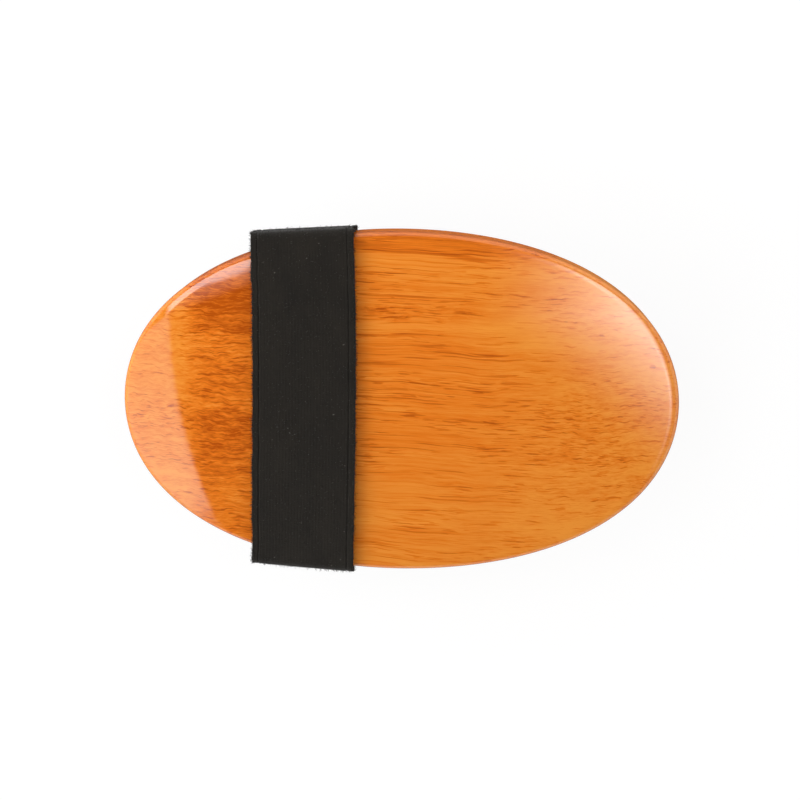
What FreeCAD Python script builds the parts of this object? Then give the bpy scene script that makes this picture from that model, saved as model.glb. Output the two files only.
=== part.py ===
"""Palm-held bristle brush for grooming pets.

An oval bamboo block with a domed back carries rows of boar tufts, each with a longer nylon
quill through its middle, and an elastic strap across the back for the hand.
Millimetres. +Z is up, +X is along the brush, and the origin is under the middle of the block
on the plane of the quill tips, so the brush stands on its bristles with its back up.
"""

import FreeCAD, Part
import math
import os

from FreeCAD import Vector

# Block: its outline is an ellipse made a little fuller at the four corners.
BODY_LENGTH = 130.0
BODY_WIDTH = 80.0
EDGE_THICKNESS = 12.0
CROWN = 5.0
FULLNESS = 0.023
TOP_ROUND = 1.0
BOTTOM_ROUND = 1.5

# Bristles: how far each kind stands out of the underside.
QUILL_REACH = 22.0
BOAR_REACH = 19.0
QUILL_DIAMETER = 1.0
QUILL_TIP_ROUND = 0.25
BOAR_TIP_DIAMETER = 4.2

# Drilled holes for the tufts, and the staggered field that they fill.
HOLE_DIAMETER = 3.0
HOLE_DEPTH = 7.0
DRILL_POINT = 0.6
TUFT_ROWS = 9
TUFT_PITCH = 8.0
FIELD_END_MARGIN = 13.0
FIELD_SIDE_MARGIN = 10.0
OUTER_ROW_INSET = 2.3

# Flat anchor wire that holds each tuft down in its hole: each end bites this far into the wood.
ANCHOR_BITE = 0.2
ANCHOR_THICKNESS = 0.35
ANCHOR_HEIGHT = 1.8
ANCHOR_FOLD = 0.5

# Elastic strap across the back.
STRAP_WIDTH = 24.0
STRAP_THICKNESS = 1.2
STRAP_X = -22.9
STRAP_PULL_IN = 1.5
STRAP_FOLD = 0.4
STRAP_SHOULDER = 1.3
SHOULDER_RUN = 1.6

# Pockets under the block for the strap's ends, and the wire staples in them.
POCKET_DEPTH = 2.4
POCKET_WALL = 0.8
STAPLE_WIRE = 0.9
STAPLE_CROWN = 8.0
STAPLE_LEG = 7.0
STAPLE_SPACING = 12.5
STAPLE_INSET = 2.2

# Clearances.
STRAP_CLEARANCE = 0.3
TUFT_CLEARANCE = 0.02
STAPLE_CLEARANCE = 0.02

# Cutters run past the faces that they open by this much.
OVERRUN = 1.0
# The domed cutter reaches this share of the block's length and width from its middle.
DOME_SHARE = 0.6
OUTLINE_POINTS = 48
SIDES = {"back": 1, "front": -1}

half_length = BODY_LENGTH / 2
half_width = BODY_WIDTH / 2
underside_z = QUILL_REACH
crown_z = underside_z + EDGE_THICKNESS + CROWN
dome_radius_x = (half_length ** 2 + CROWN ** 2) / (2 * CROWN)
dome_radius_y = (half_width ** 2 + CROWN ** 2) / (2 * CROWN)
dome_axis_z = crown_z - dome_radius_x
outer_row_y = half_width - FIELD_SIDE_MARGIN - OUTER_ROW_INSET
anchor_z = underside_z + HOLE_DEPTH - ANCHOR_FOLD - ANCHOR_HEIGHT
pocket_end_y = outer_row_y + HOLE_DIAMETER / 2 + POCKET_WALL
pocket_z = underside_z + POCKET_DEPTH
staple_z = pocket_z - STRAP_THICKNESS - STAPLE_WIRE / 2
staple_reach = (STAPLE_CROWN - STAPLE_WIRE) / 2
strap_left = STRAP_X - STRAP_WIDTH / 2
strap_right = STRAP_X + STRAP_WIDTH / 2


def outline_point(angle, z):
    """Point of the block's outline at this parameter angle."""
    swell = 1 + FULLNESS * math.sin(2 * angle) ** 2
    x = half_length * math.cos(angle) * swell
    y = half_width * math.sin(angle) * swell
    return Vector(x, y, z)


def outline_half_width(x):
    """Half the block's width where the outline crosses this x, by halving the angle's range."""
    low, high = 0.0, math.pi
    while high - low > 1e-9:
        angle = (low + high) / 2
        if outline_point(angle, 0).x > x:
            low = angle
        else:
            high = angle
    return outline_point(low, 0).y


def dome_z(x, y, offset=0.0):
    """Height of the domed back at (x, y), moved out of the block by offset."""
    radius = dome_radius_y + offset
    profile_z = crown_z - dome_radius_y + math.sqrt(radius ** 2 - y ** 2)
    return dome_axis_z + math.sqrt((profile_z - dome_axis_z) ** 2 - x ** 2)


def box(x_span, y_span, z_span):
    """Box between three pairs of coordinates, each given low to high."""
    size = [high - low for low, high in (x_span, y_span, z_span)]
    return Part.makeBox(*size, Vector(x_span[0], y_span[0], z_span[0]))


def revolve_about_z(points):
    """Solid turned about the Z axis from (radius, z) points, closed along the axis."""
    corners = [Vector(radius, 0, z) for radius, z in points]
    face = Part.Face(Part.makePolygon(corners + corners[:1]))
    return face.revolve(Vector(0, 0, 0), Vector(0, 0, 1), 360)


def under_dome(offset=0.0):
    """Thick block whose top is the domed back moved out by offset, larger than the body in plan."""
    reach = BODY_WIDTH * DOME_SHARE
    floor_z = underside_z - EDGE_THICKNESS
    radius = dome_radius_y + offset
    edge_z = crown_z - dome_radius_y + math.sqrt(radius ** 2 - reach ** 2)
    top = Part.Arc(Vector(0, -reach, edge_z), Vector(0, 0, crown_z + offset), Vector(0, reach, edge_z))
    left, right = Vector(0, -reach, floor_z), Vector(0, reach, floor_z)
    sides = Part.makePolygon([top.EndPoint, right, left, top.StartPoint])
    face = Part.Face(Part.Wire([top.toShape()] + sides.Edges))
    swing = math.degrees(math.asin(BODY_LENGTH * DOME_SHARE / dome_radius_x))
    hinge, along = Vector(0, 0, dome_axis_z), Vector(0, 1, 0)
    face.rotate(hinge, along, -swing)
    return face.revolve(hinge, along, 2 * swing)


def row_y(row):
    """Position of a tuft row across the brush."""
    return -outer_row_y + row * 2 * outer_row_y / (TUFT_ROWS - 1)


def row_positions(row):
    """Tuft centres along one row: every second row is shifted by half a pitch."""
    y = row_y(row)
    field_half_width = half_width - FIELD_SIDE_MARGIN
    reach = (half_length - FIELD_END_MARGIN) * math.sqrt(1 - (y / field_half_width) ** 2)
    shift = TUFT_PITCH / 2 if (row - TUFT_ROWS // 2) % 2 else 0.0
    steps = int((reach - shift) // TUFT_PITCH)
    right = [shift + step * TUFT_PITCH for step in range(steps + 1)]
    xs = sorted({-x for x in right} | set(right))
    return [Vector(x, y, 0) for x in xs]


def anchor():
    """Flat wire that the tuft is folded over, wider than the hole so that it bites the wood."""
    reach = HOLE_DIAMETER / 2 + ANCHOR_BITE
    return box(
        (-reach, reach),
        (-ANCHOR_THICKNESS / 2, ANCHOR_THICKNESS / 2),
        (anchor_z, anchor_z + ANCHOR_HEIGHT),
    )


def quill():
    """Nylon quill from its rounded tip up to the anchor."""
    rod = Part.makeCylinder(QUILL_DIAMETER / 2, anchor_z)
    tip_rim = min(rod.Edges, key=lambda edge: edge.BoundBox.ZMax)
    return rod.makeFillet(QUILL_TIP_ROUND, [tip_rim])


def hole():
    """Drilled hole for one tuft, open at the underside, with the drill's point at its end."""
    radius = HOLE_DIAMETER / 2
    mouth = underside_z - OVERRUN
    bottom = underside_z + HOLE_DEPTH
    return revolve_about_z([(0, mouth), (radius, mouth), (radius, bottom), (0, bottom + DRILL_POINT)])


def boar_tuft():
    """Boar bristles folded over the anchor, round the quill, spreading a little to the tip."""
    radius = HOLE_DIAMETER / 2 - TUFT_CLEARANCE
    tip = underside_z - BOAR_REACH
    bottom = underside_z + HOLE_DEPTH - TUFT_CLEARANCE
    outside = [(0, tip), (BOAR_TIP_DIAMETER / 2, tip), (radius, underside_z), (radius, bottom)]
    bundle = revolve_about_z(outside + [(0, bottom)])
    bore_radius = QUILL_DIAMETER / 2 + TUFT_CLEARANCE
    bore_start = tip - OVERRUN
    bore = Part.makeCylinder(bore_radius, anchor_z - bore_start, Vector(0, 0, bore_start))
    return bundle.cut([bore, anchor()])


def staple():
    """Wire staple with its crown along X under the strap and two legs going up."""
    radius = STAPLE_WIRE / 2
    crown_start = Vector(-staple_reach, 0, staple_z)
    solid = Part.makeCylinder(radius, 2 * staple_reach, crown_start, Vector(1, 0, 0))
    for x in (-staple_reach, staple_reach):
        corner = Vector(x, 0, staple_z)
        solid = solid.fuse([Part.makeCylinder(radius, STAPLE_LEG, corner), Part.makeSphere(radius, corner)])
    return solid.removeSplitter()


def staple_legs():
    """Holes that the staple's legs fill in the strap and the wood."""
    radius = STAPLE_WIRE / 2 + STAPLE_CLEARANCE
    depth = STAPLE_LEG + STAPLE_CLEARANCE
    corners = [Vector(x, 0, staple_z) for x in (-staple_reach, staple_reach)]
    return Part.makeCompound([Part.makeCylinder(radius, depth, corner) for corner in corners])


def at_staples(shape, side):
    """Copies of a shape at the two staples on one side of the brush."""
    y = side * (pocket_end_y + STAPLE_INSET)
    xs = (STRAP_X - STAPLE_SPACING / 2, STRAP_X + STAPLE_SPACING / 2)
    return Part.makeCompound([shape.translated(Vector(x, y, 0)) for x in xs])


def strap_section(x, inner_y):
    """Closed outline, in the plane at x, of the strap from the shoulder down and under the block."""
    start_y = strap_split_y() + STRAP_CLEARANCE
    start_z = dome_z(x, start_y, STRAP_CLEARANCE)
    slope = math.asin(start_y / (dome_radius_y + STRAP_CLEARANCE))
    end_y = pocket_end_y + STRAP_CLEARANCE

    def face_path(inset):
        """One face of the strap as edges, inset outwards from its inner face."""
        shoulder = STRAP_SHOULDER + inset
        fold = STRAP_FOLD + inset
        centre_y = inner_y - STRAP_SHOULDER
        first = Vector(x, start_y + inset * math.sin(slope), start_z + inset * math.cos(slope))
        # The shoulder's arc is tangent to the line down from the dome and to the vertical run.
        tangent_y = centre_y + shoulder * math.sin(slope)
        tangent_z = first.z - (tangent_y - first.y) * math.tan(slope)
        centre_z = tangent_z - shoulder * math.cos(slope)
        middle = (slope + math.pi / 2) / 2
        on_dome = Vector(x, tangent_y, tangent_z)
        on_arc = Vector(x, centre_y + shoulder * math.sin(middle), centre_z + shoulder * math.cos(middle))
        at_side = Vector(x, centre_y + shoulder, centre_z)
        fold_centre = Vector(x, inner_y - STRAP_FOLD, pocket_z + STRAP_FOLD)
        above_fold = fold_centre + Vector(0, fold, 0)
        on_fold = fold_centre + Vector(0, fold * math.sqrt(0.5), -fold * math.sqrt(0.5))
        below_fold = fold_centre + Vector(0, 0, -fold)
        last = Vector(x, end_y, below_fold.z)
        return [
            Part.makeLine(first, on_dome),
            Part.Arc(on_dome, on_arc, at_side).toShape(),
            Part.makeLine(at_side, above_fold),
            Part.Arc(above_fold, on_fold, below_fold).toShape(),
            Part.makeLine(below_fold, last),
        ]

    inner, outer = face_path(0.0), face_path(STRAP_THICKNESS)
    ends = [
        Part.makeLine(path_a.Vertexes[index].Point, path_b.Vertexes[index].Point)
        for path_a, path_b, index in ((inner[0], outer[0], 0), (inner[-1], outer[-1], 1))
    ]
    return Part.Wire(Part.sortEdges(inner + outer + ends)[0])


def strap_side_y():
    """Inner face of the strap beside the block at its right and left edges: it is pulled in at the left."""
    right = outline_half_width(strap_right) + STRAP_CLEARANCE
    return right, right - STRAP_PULL_IN


def strap_split_y():
    """Where the strap's lifting middle ends, just short of the shoulder's bend."""
    return strap_side_y()[1] - SHOULDER_RUN


def bamboo_body():
    """Domed block with tuft holes, anchor notches, strap pockets and staple holes."""
    points = [outline_point(2 * math.pi * i / OUTLINE_POINTS, underside_z) for i in range(OUTLINE_POINTS)]
    curve = Part.BSplineCurve()
    curve.interpolate(points, PeriodicFlag=True)
    prism = Part.Face(Part.Wire([curve.toShape()])).extrude(Vector(0, 0, EDGE_THICKNESS + 2 * CROWN))
    block = prism.common(under_dome())
    for rounding, which in ((BOTTOM_ROUND, min), (TOP_ROUND, max)):
        rims = [edge for edge in block.Edges if edge.BoundBox.XLength > half_length]
        block = block.makeFillet(rounding, [which(rims, key=lambda edge: edge.BoundBox.ZMin)])
    cutters = []
    for row in range(TUFT_ROWS):
        for place in row_positions(row):
            cutters += [hole().translated(place), anchor().translated(place)]
    for side in SIDES.values():
        pocket_y = sorted((side * pocket_end_y, side * BODY_WIDTH))
        pocket_x = (strap_left - STRAP_CLEARANCE, strap_right + STRAP_CLEARANCE)
        cutters.append(box(pocket_x, pocket_y, (underside_z - OVERRUN, pocket_z)))
        cutters.append(at_staples(staple_legs(), side))
    return block.cut(cutters)


def strap_span():
    """Middle of the strap, lying along the domed back."""
    shell = under_dome(STRAP_CLEARANCE + STRAP_THICKNESS).cut(under_dome(STRAP_CLEARANCE))
    reach = strap_split_y()
    return shell.common(box((strap_left, strap_right), (-reach, reach), (underside_z, crown_z + CROWN)))


def strap_end(side):
    """One end of the strap: over the shoulder, down the side and under into its pocket."""
    right_y, left_y = strap_side_y()
    sections = [strap_section(strap_left, left_y), strap_section(strap_right, right_y)]
    solid = Part.makeLoft(sections, True, True)
    if side < 0:
        solid = solid.mirror(Vector(0, 0, 0), Vector(0, 1, 0))
    return solid.cut(at_staples(staple_legs(), side))


def copies(shape, places):
    """Compound of a shape repeated at each place."""
    return Part.makeCompound([shape.translated(place) for place in places])


def build():
    """Every node of the brush, by name."""
    nodes = {"bamboo_body": bamboo_body(), "strap_span": strap_span()}
    for name, side in SIDES.items():
        nodes[f"strap_end_{name}"] = strap_end(side)
        nodes[f"staples_{name}"] = at_staples(staple(), side)
    pieces = {"boar_tufts": boar_tuft(), "nylon_quills": quill(), "anchor_wires": anchor()}
    for row in range(TUFT_ROWS):
        for name, shape in pieces.items():
            nodes[f"{name}_row_{row + 1}"] = copies(shape, row_positions(row))
    return nodes


os.makedirs("parts", exist_ok=True)
for node, shape in build().items():
    valid = "valid" if shape.isValid() else "NOT VALID"
    print(f"{node}: {len(shape.Solids)} solids, {shape.Volume:.1f} mm3, {valid}")
    shape.exportStep(f"parts/{node}.step")
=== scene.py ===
"""Looks of a palm-held bristle brush for grooming pets.

A lacquered bamboo block with a domed back carries staggered tufts of boar bristle, each with a
longer nylon quill through its middle, and a woven elastic strap across the back for the hand.
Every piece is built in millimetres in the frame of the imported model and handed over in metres.
"""

import logging
import math
from dataclasses import dataclass
from enum import Enum

import bpy
import numpy as np
from mathutils import Matrix, Vector


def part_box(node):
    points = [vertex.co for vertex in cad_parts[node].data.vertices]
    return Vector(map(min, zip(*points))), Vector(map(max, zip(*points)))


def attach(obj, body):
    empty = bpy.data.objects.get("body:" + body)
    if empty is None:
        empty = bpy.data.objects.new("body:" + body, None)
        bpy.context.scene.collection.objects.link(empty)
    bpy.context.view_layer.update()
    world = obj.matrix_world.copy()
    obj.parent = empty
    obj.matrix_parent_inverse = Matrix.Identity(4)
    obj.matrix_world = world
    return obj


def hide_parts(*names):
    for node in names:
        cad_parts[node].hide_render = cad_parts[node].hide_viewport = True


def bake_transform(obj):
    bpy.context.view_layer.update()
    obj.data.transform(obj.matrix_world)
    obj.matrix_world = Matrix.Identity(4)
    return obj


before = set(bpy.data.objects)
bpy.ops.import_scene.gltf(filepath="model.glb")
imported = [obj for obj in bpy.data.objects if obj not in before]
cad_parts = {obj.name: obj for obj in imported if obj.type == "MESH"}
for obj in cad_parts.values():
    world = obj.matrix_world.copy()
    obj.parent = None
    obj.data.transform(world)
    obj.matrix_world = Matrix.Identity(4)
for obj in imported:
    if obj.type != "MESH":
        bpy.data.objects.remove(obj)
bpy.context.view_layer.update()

MM = 0.001
TINY = 0.001
log = logging.getLogger("bristle_brush")

Piece = bpy.types.Object
Skin = tuple[np.ndarray, list[list[int]]]
Colour = tuple[float, float, float]
Edge = tuple[float, float]
Seam = tuple[float, float]
Stretch = tuple[float, float, float, float]
Output = bpy.types.NodeSocket
Value = Output | float | Colour


class Body(Enum):
    """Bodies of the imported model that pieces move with."""

    BLOCK = "block"
    HAND_STRAP = "hand_strap"


class Slot(Enum):
    """Material slots of the record."""

    BAMBOO = "bamboo"
    WEBBING = "webbing"
    BOAR = "boar_bristle"
    NYLON = "nylon"
    STAPLE_WIRE = "staple_wire"
    ANCHOR_WIRE = "anchor_wire"


class Side(Enum):
    """The two long sides of the brush, as signs along Y."""

    BACK = 1
    FRONT = -1


# ---------------------------------------------------------------------------------------------
# Mesh work
# ---------------------------------------------------------------------------------------------


def box_mm(node: str) -> tuple[np.ndarray, np.ndarray]:
    """Lowest and highest corner of a node, in millimetres.

    Args:
        node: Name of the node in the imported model.

    Returns:
        The two corners as arrays of three numbers.
    """
    low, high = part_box(node)
    return np.array(low) / MM, np.array(high) / MM


def mesh_piece(name: str, points: np.ndarray, faces: list[list[int]], sharp_degrees: float = 40.0) -> Piece:
    """Make an object from points and faces, smooth except at sharp corners.

    Args:
        name: Name of the new object.
        points: Corner positions in millimetres, one row each.
        faces: Corner numbers of each face, counter-clockwise from outside.
        sharp_degrees: Faces that meet at more than this angle keep a hard edge.

    Returns:
        The new object, linked to the scene.
    """
    mesh = bpy.data.meshes.new(name)
    mesh.from_pydata((points * MM).tolist(), [], faces)
    mesh.update()
    mesh.shade_smooth()
    mesh.set_sharp_from_angle(angle=math.radians(sharp_degrees))
    piece = bpy.data.objects.new(name, mesh)
    bpy.context.scene.collection.objects.link(piece)
    return piece


def ring_loft(rings: np.ndarray) -> Skin:
    """Skin closed rings in order and close both ends with one face each.

    Args:
        rings: Positions with shape (rings, points in a ring, 3). Seen from the last ring back
            to the first, the points run counter-clockwise.

    Returns:
        The positions as rows, and the faces.
    """
    count, around = rings.shape[:2]
    lower = np.arange(around)
    upper = np.roll(lower, -1)
    start = (np.arange(count - 1) * around)[:, None]
    quads = np.stack([start + lower, start + upper, start + upper + around, start + lower + around], axis=-1)
    faces = quads.reshape(-1, 4).tolist()
    faces.append(lower[::-1].tolist())
    faces.append((lower + (count - 1) * around).tolist())
    return rings.reshape(-1, 3), faces


def skinned_rods(points: np.ndarray) -> Skin:
    """Skin many rods of the same make, each closed at both ends.

    Args:
        points: Positions with shape (rods, rings, points in a ring, 3).

    Returns:
        The positions as rows, and the faces.
    """
    rods, rings, sides = points.shape[:3]
    pattern = ring_loft(points[0])[1]
    faces: list[list[int]] = []
    for rod in range(rods):
        first = rod * rings * sides
        faces.extend([[corner + first for corner in face] for face in pattern])
    return points.reshape(-1, 3), faces


def upright_rods(centres: np.ndarray, radii: np.ndarray, sides: int) -> Skin:
    """Closed rods that run more or less along Z.

    Args:
        centres: Ring centres with shape (rods, rings, 3), lowest ring first.
        radii: Ring radii with shape (rods, rings).
        sides: Number of sides of each rod.

    Returns:
        The positions as rows, and the faces.
    """
    angles = np.linspace(0, 2 * math.pi, sides, endpoint=False)
    circle = np.stack([np.cos(angles), np.sin(angles), np.zeros(sides)], axis=-1)
    return skinned_rods(centres[:, :, None, :] + radii[:, :, None, None] * circle)


def cut_away(piece: Piece, cutter: Piece) -> None:
    """Cut one closed mesh out of another and remove the cutter.

    Args:
        piece: Object that is cut.
        cutter: Closed object that is taken away from it.
    """
    modifier = piece.modifiers.new("cut", "BOOLEAN")
    modifier.operation = "DIFFERENCE"
    modifier.solver = "EXACT"
    modifier.object = cutter
    evaluated = piece.evaluated_get(bpy.context.evaluated_depsgraph_get())
    result = bpy.data.meshes.new_from_object(evaluated)
    piece.modifiers.clear()
    piece.data = result
    bpy.data.objects.remove(cutter)


def box_cutter(spans: list[tuple[tuple[float, float], ...]]) -> Skin:
    """Several separate boxes as one set of points and faces.

    Args:
        spans: For each box, its low and high value along X, Y and Z.

    Returns:
        The positions as rows, and the faces.
    """
    points: list[list[float]] = []
    faces: list[list[int]] = []
    corners = ((0, 0), (1, 0), (1, 1), (0, 1))
    for x_span, y_span, z_span in spans:
        rings = np.array([[[x_span[a], y_span[b], z] for a, b in corners] for z in z_span])
        box_points, box_faces = ring_loft(rings)
        faces.extend([[corner + len(points) for corner in face] for face in box_faces])
        points.extend(box_points.tolist())
    return np.array(points), faces


# ---------------------------------------------------------------------------------------------
# Finishes
# ---------------------------------------------------------------------------------------------


@dataclass(frozen=True)
class Mottle:
    """One layer of noise: its cells for each millimetre along X, Y and Z, and its fineness."""

    cells: tuple[float, float, float]
    detail: float = 1.0
    roughness: float = 0.5
    distortion: float = 0.0


class NodeBench:
    """A node tree, with short ways to add nodes and join them."""

    def __init__(self, tree: bpy.types.NodeTree) -> None:
        """Work on a node tree."""
        self.tree = tree

    def join(self, source: Output, target: bpy.types.NodeSocket) -> None:
        """Join an output to an input."""
        self.tree.links.new(source, target)

    def feed(self, target: bpy.types.NodeSocket, value: Value) -> None:
        """Give an input a fixed value, or join it where the value is an output.

        Args:
            target: Input that takes the value.
            value: Number, colour or output.
        """
        if isinstance(value, bpy.types.NodeSocket):
            self.join(value, target)
        else:
            target.default_value = value

    def scaled(self, vector: Output, scale: tuple[float, float, float]) -> Output:
        """Multiply a vector by a scale along each axis.

        Args:
            vector: Output that gives the vector.
            scale: Factor along each axis.

        Returns:
            Output that gives the scaled vector.
        """
        node = self.tree.nodes.new("ShaderNodeVectorMath")
        node.operation = "MULTIPLY"
        self.join(vector, node.inputs[0])
        node.inputs[1].default_value = scale
        return node.outputs[0]

    def maths(self, operation: str, *values: Value, clamp: bool = False) -> Output:
        """Calculate with numbers or outputs.

        Args:
            operation: Name of the operation.
            values: Numbers or outputs, in the order of the node's inputs.
            clamp: Keep the result between 0 and 1.

        Returns:
            Output that gives the result.
        """
        node = self.tree.nodes.new("ShaderNodeMath")
        node.operation = operation
        node.use_clamp = clamp
        for target, value in zip(node.inputs, values):
            self.feed(target, value)
        return node.outputs[0]

    def total(self, first: Value, *others: Value) -> Output:
        """Add numbers or outputs, from left to right.

        Args:
            first: First number or output.
            others: The numbers or outputs to add to it.

        Returns:
            Output that gives the sum.
        """
        for value in others:
            first = self.maths("ADD", first, value)
        return first

    def product(self, first: Value, *others: Value) -> Output:
        """Multiply numbers or outputs, from left to right.

        Args:
            first: First number or output.
            others: The numbers or outputs to multiply it by.

        Returns:
            Output that gives the product.
        """
        for value in others:
            first = self.maths("MULTIPLY", first, value)
        return first

    def distance(self, x: Output, y: Output) -> Output:
        """Length of the arrow with these two legs."""
        return self.maths("SQRT", self.total(self.product(x, x), self.product(y, y)))

    def swing(self, noise: Output, weight: Value, tone: Value, clamp: bool = False) -> Output:
        """Shift a tone up and down by a noise that lies around 0.5.

        Args:
            noise: Output that gives the noise.
            weight: Size of the shift.
            tone: Tone before the shift.
            clamp: Keep the result between 0 and 1.

        Returns:
            Output that gives the shifted tone.
        """
        return self.maths("MULTIPLY_ADD", self.maths("SUBTRACT", noise, 0.5), weight, tone, clamp=clamp)

    def towards_one(self, value: Output, share: Output) -> Output:
        """Bring a value to exactly 1 where the share is 1, and leave it where the share is 0."""
        return self.maths("MULTIPLY_ADD", self.maths("SUBTRACT", 1.0, value), share, value)

    def axes(self, vector: Output) -> bpy.types.NodeOutputs:
        """Split a vector into its X, Y and Z outputs.

        Args:
            vector: Output that gives the vector.

        Returns:
            The three outputs.
        """
        node = self.tree.nodes.new("ShaderNodeSeparateXYZ")
        self.join(vector, node.inputs[0])
        return node.outputs

    def vector(self, *parts: Value) -> Output:
        """Combine three numbers or outputs into a vector.

        Args:
            parts: The vector's X, Y and Z.

        Returns:
            Output that gives the vector.
        """
        node = self.tree.nodes.new("ShaderNodeCombineXYZ")
        for target, value in zip(node.inputs, parts):
            self.feed(target, value)
        return node.outputs[0]

    def noise(self, vector: Output, mottle: Mottle) -> Output:
        """Noise whose cells are stretched along the axes.

        Args:
            vector: Output that gives the place, in millimetres.
            mottle: Size and fineness of the noise.

        Returns:
            Output that gives the noise, from 0 to 1 around 0.5.
        """
        node = self.tree.nodes.new("ShaderNodeTexNoise")
        self.join(self.scaled(vector, mottle.cells), node.inputs["Vector"])
        node.inputs["Scale"].default_value = 1.0
        node.inputs["Detail"].default_value = mottle.detail
        node.inputs["Roughness"].default_value = mottle.roughness
        node.inputs["Distortion"].default_value = mottle.distortion
        return node.outputs["Fac"]

    def band(self, value: Value, low: float, high: float, start: float = 0.0, end: float = 1.0) -> Output:
        """Smooth step of a value from start at low to end at high.

        Args:
            value: Number or output that is stepped.
            low: Value at which the step starts.
            high: Value at which the step ends.
            start: Result below the step.
            end: Result above the step.

        Returns:
            Output that gives the stepped value.
        """
        node = self.tree.nodes.new("ShaderNodeMapRange")
        node.interpolation_type = "SMOOTHSTEP"
        for name, number in (("From Min", low), ("From Max", high), ("To Min", start), ("To Max", end)):
            node.inputs[name].default_value = number
        self.feed(node.inputs["Value"], value)
        return node.outputs["Result"]

    def blend_colour(self, share: Output, first: Value, second: Value) -> Output:
        """Blend two colours.

        Args:
            share: Output that gives the weight of the second colour.
            first: First colour, as an output or its red, green and blue.
            second: Second colour, in the same way.

        Returns:
            Output that gives the blended colour.
        """
        node = self.tree.nodes.new("ShaderNodeMix")
        node.data_type = "RGBA"
        self.feed(node.inputs[0], share)
        # The colours are inputs 6 and 7. The ones before them take numbers and vectors.
        for target, colour in zip(node.inputs[6:8], (first, second)):
            self.feed(target, (*colour, 1.0) if isinstance(colour, tuple) else colour)
        return node.outputs[2]

    def colour_run(self, value: Output, stops: list[tuple[float, Colour]]) -> Output:
        """Colour picked from a run of stops.

        Args:
            value: Output between 0 and 1 that picks the colour.
            stops: Position and colour of each stop, in order.

        Returns:
            Output that gives the colour.
        """
        node = self.tree.nodes.new("ShaderNodeValToRGB")
        run = node.color_ramp
        while len(run.elements) < len(stops):
            run.elements.new(0.5)
        for element, (position, colour) in zip(run.elements, stops):
            element.position = position
            element.color = (*colour, 1.0)
        self.join(value, node.inputs[0])
        return node.outputs[0]

    def rays(self, *names: str) -> Output:
        """Output that is 1 for rays of these kinds, and 0 for the rest.

        Args:
            names: Outputs of the light path node.

        Returns:
            The output.
        """
        path = self.tree.nodes.new("ShaderNodeLightPath")
        found = path.outputs[names[0]]
        for name in names[1:]:
            found = self.maths("ADD", found, path.outputs[name], clamp=True)
        return found


class MaterialBench(NodeBench):
    """The node tree of a material with one principled shader."""

    def __init__(self, name: str) -> None:
        """Start a material with its principled shader.

        Args:
            name: Name of the material.
        """
        self.material = bpy.data.materials.new(name)
        self.material.use_nodes = True
        super().__init__(self.material.node_tree)
        self.shader = self.tree.nodes["Principled BSDF"]
        place = self.tree.nodes.new("ShaderNodeTexCoord")
        self.place = self.scaled(place.outputs["Object"], (1 / MM, 1 / MM, 1 / MM))

    def set(self, name: str, value: Value) -> None:
        """Give one of the shader's inputs a fixed value or an output."""
        self.feed(self.shader.inputs[name], value)

    def relief(self, height: Output, depth_mm: float, target: str = "Normal") -> None:
        """Bump one of the shader's normals.

        Args:
            height: Output that gives the height, from 0 to 1.
            depth_mm: Height of 1, in millimetres.
            target: Input of the shader that takes the bumped normal.
        """
        node = self.tree.nodes.new("ShaderNodeBump")
        node.inputs["Distance"].default_value = depth_mm * MM
        self.join(height, node.inputs["Height"])
        self.set(target, node.outputs["Normal"])


def dress(piece: Piece, material: bpy.types.Material) -> None:
    """Give a piece one material.

    Args:
        piece: Piece to dress.
        material: Its material.
    """
    if piece.material_slots:
        for place in piece.material_slots:
            place.material = material
    else:
        piece.data.materials.append(material)


@dataclass(frozen=True)
class Patch:
    """Soft oval patch on the back, seen from above, in millimetres."""

    middle: tuple[float, float]
    reach: tuple[float, float]
    depth: float

    def value(self, bench: NodeBench, *place: Output) -> Output:
        """Value of the patch at each place.

        Args:
            bench: Node tree being built.
            place: Outputs that give the place along X and Y.

        Returns:
            Output that falls from the depth in the middle to 0 outside.
        """
        squares = []
        for value, middle, extent in zip(place, self.middle, self.reach):
            offset = bench.maths("DIVIDE", bench.maths("SUBTRACT", value, middle), extent)
            squares.append(bench.product(offset, offset))
        return bench.band(bench.total(*squares), 0.1, 1.3, self.depth, 0.0)


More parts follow.
